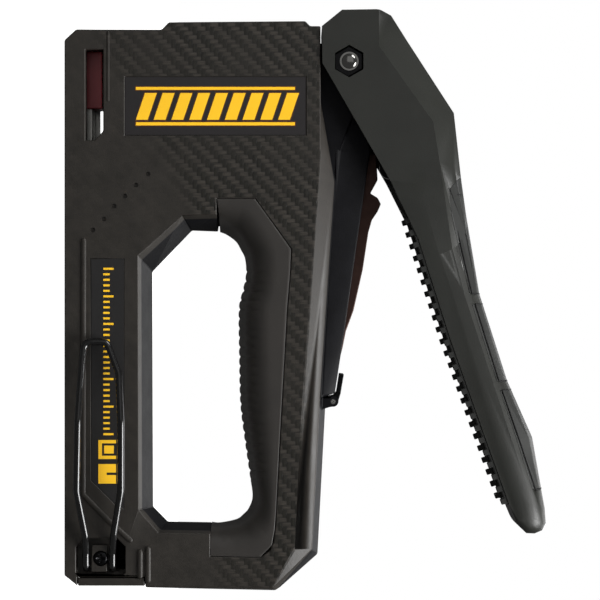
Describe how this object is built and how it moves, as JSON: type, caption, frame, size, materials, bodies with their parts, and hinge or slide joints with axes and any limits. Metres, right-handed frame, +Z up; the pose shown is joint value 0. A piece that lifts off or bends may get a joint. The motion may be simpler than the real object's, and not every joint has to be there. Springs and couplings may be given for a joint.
{
  "type": "staple gun",
  "caption": "Hand staple gun with a squeeze handle over a hollow grip, a spring-driven striker, a slide-out staple rail and a wire belt hook.",
  "frame": {"origin": "underside of the base, halfway along it, on the middle plane", "axes": "+X from the nose to the back, +Z up from the base, -Y towards the side with the belt hook"},
  "size_m": [0.2132, 0.0411, 0.1759],
  "materials": {
    "composite": "moulded carbon-fibre filled plastic, satin",
    "soft_grip": "overmoulded soft grip, matte",
    "badge": "printed badge, satin, with yellow bars",
    "label": "printed label, satin",
    "handle_plastic": "moulded glass-filled nylon, satin",
    "black_steel": "black oxide, semi-gloss",
    "bright_steel": "ground spring steel",
    "zinc_steel": "zinc plated",
    "bronze_steel": "dark red-brown hardened steel",
    "pusher_red": "red enamel, semi-gloss",
    "screw_black": "black oxide screws"
  },
  "bodies": {
    "housing": {"housing_near": "composite", "housing_far": "composite", "grip_sleeve_near": "soft_grip", "grip_sleeve_far": "soft_grip", "housing_screws": "screw_black", "badge_plate_near": "badge", "badge_plate_far": "badge", "label_plate": "label", "striker_guide": "zinc_steel", "nose_plate": "zinc_steel", "power_spring": "bright_steel", "spring_seat": "zinc_steel", "striker_bumper": "soft_grip", "lifter_pin": "bright_steel", "rocker_pin": "bright_steel", "staple_channel": "zinc_steel", "handle_spring": "bright_steel", "catch_pin": "bright_steel", "belt_hook": "black_steel", "belt_hook_clamp": "composite", "belt_hook_screw": "screw_black"},
    "handle": {"handle_body": "handle_plastic", "handle_pad_upper": "soft_grip", "handle_pad_middle": "soft_grip", "handle_pad_lower": "soft_grip", "handle_tooth_strips": "soft_grip", "handle_core": "zinc_steel", "handle_cam": "black_steel", "pivot_bolt": "black_steel", "pivot_nut": "black_steel"},
    "striker": {"striker": "bright_steel", "driver_blade": "bright_steel"},
    "lifter": {"lifter": "bronze_steel"},
    "rocker": {"rocker": "bronze_steel"},
    "magazine": {"staple_rail": "zinc_steel", "feed_rod": "bright_steel", "feed_spring": "bright_steel", "end_cap": "composite"},
    "pusher": {"pusher": "pusher_red"},
    "catch": {"handle_catch": "black_steel"}
  },
  "joints": [
    {"name": "handle_hinge", "type": "hinge", "parent": "housing", "child": "handle", "pos_m": [-0.0866, 0, 0.1033], "axis": [0, 1, 0], "range_deg": [0, 22], "stiffness_Nm_per_rad": 0.6, "springref_deg": -14.32},
    {"name": "rocker_hinge", "type": "hinge", "parent": "housing", "child": "rocker", "pos_m": [0.0215, 0, 0.0924], "axis": [0, -1, 0], "range_deg": [0, 12.7]},
    {"name": "lifter_hinge", "type": "hinge", "parent": "housing", "child": "lifter", "pos_m": [-0.0705, 0, 0.084], "axis": [0, 1, 0], "range_deg": [0, 38.2]},
    {"name": "striker_slide", "type": "slide", "parent": "housing", "child": "striker", "axis": [0, 0, 1], "range_m": [0, 0.0103], "deforming": ["power_spring"]},
    {"name": "magazine_slide", "type": "slide", "parent": "housing", "child": "magazine", "axis": [1, 0, 0], "range_m": [0, 0.09]},
    {"name": "pusher_slide", "type": "slide", "parent": "magazine", "child": "pusher", "axis": [1, 0, 0], "range_m": [0, 0.12], "stiffness_N_per_m": 8, "springref_m": -0.05, "deforming": ["feed_spring"]},
    {"name": "catch_hinge", "type": "hinge", "parent": "housing", "child": "catch", "pos_m": [0.0372, 0, 0.0976], "axis": [0, 1, 0], "range_deg": [0, 25]}
  ],
  "couplings": [
    {"joint": "rocker_hinge", "follows": "handle_hinge", "ratio": 0.57273},
    {"joint": "lifter_hinge", "follows": "handle_hinge", "ratio": 1.7273},
    {"joint": "striker_slide", "follows": "handle_hinge", "m_per_rad": 0.026564}
  ]
}
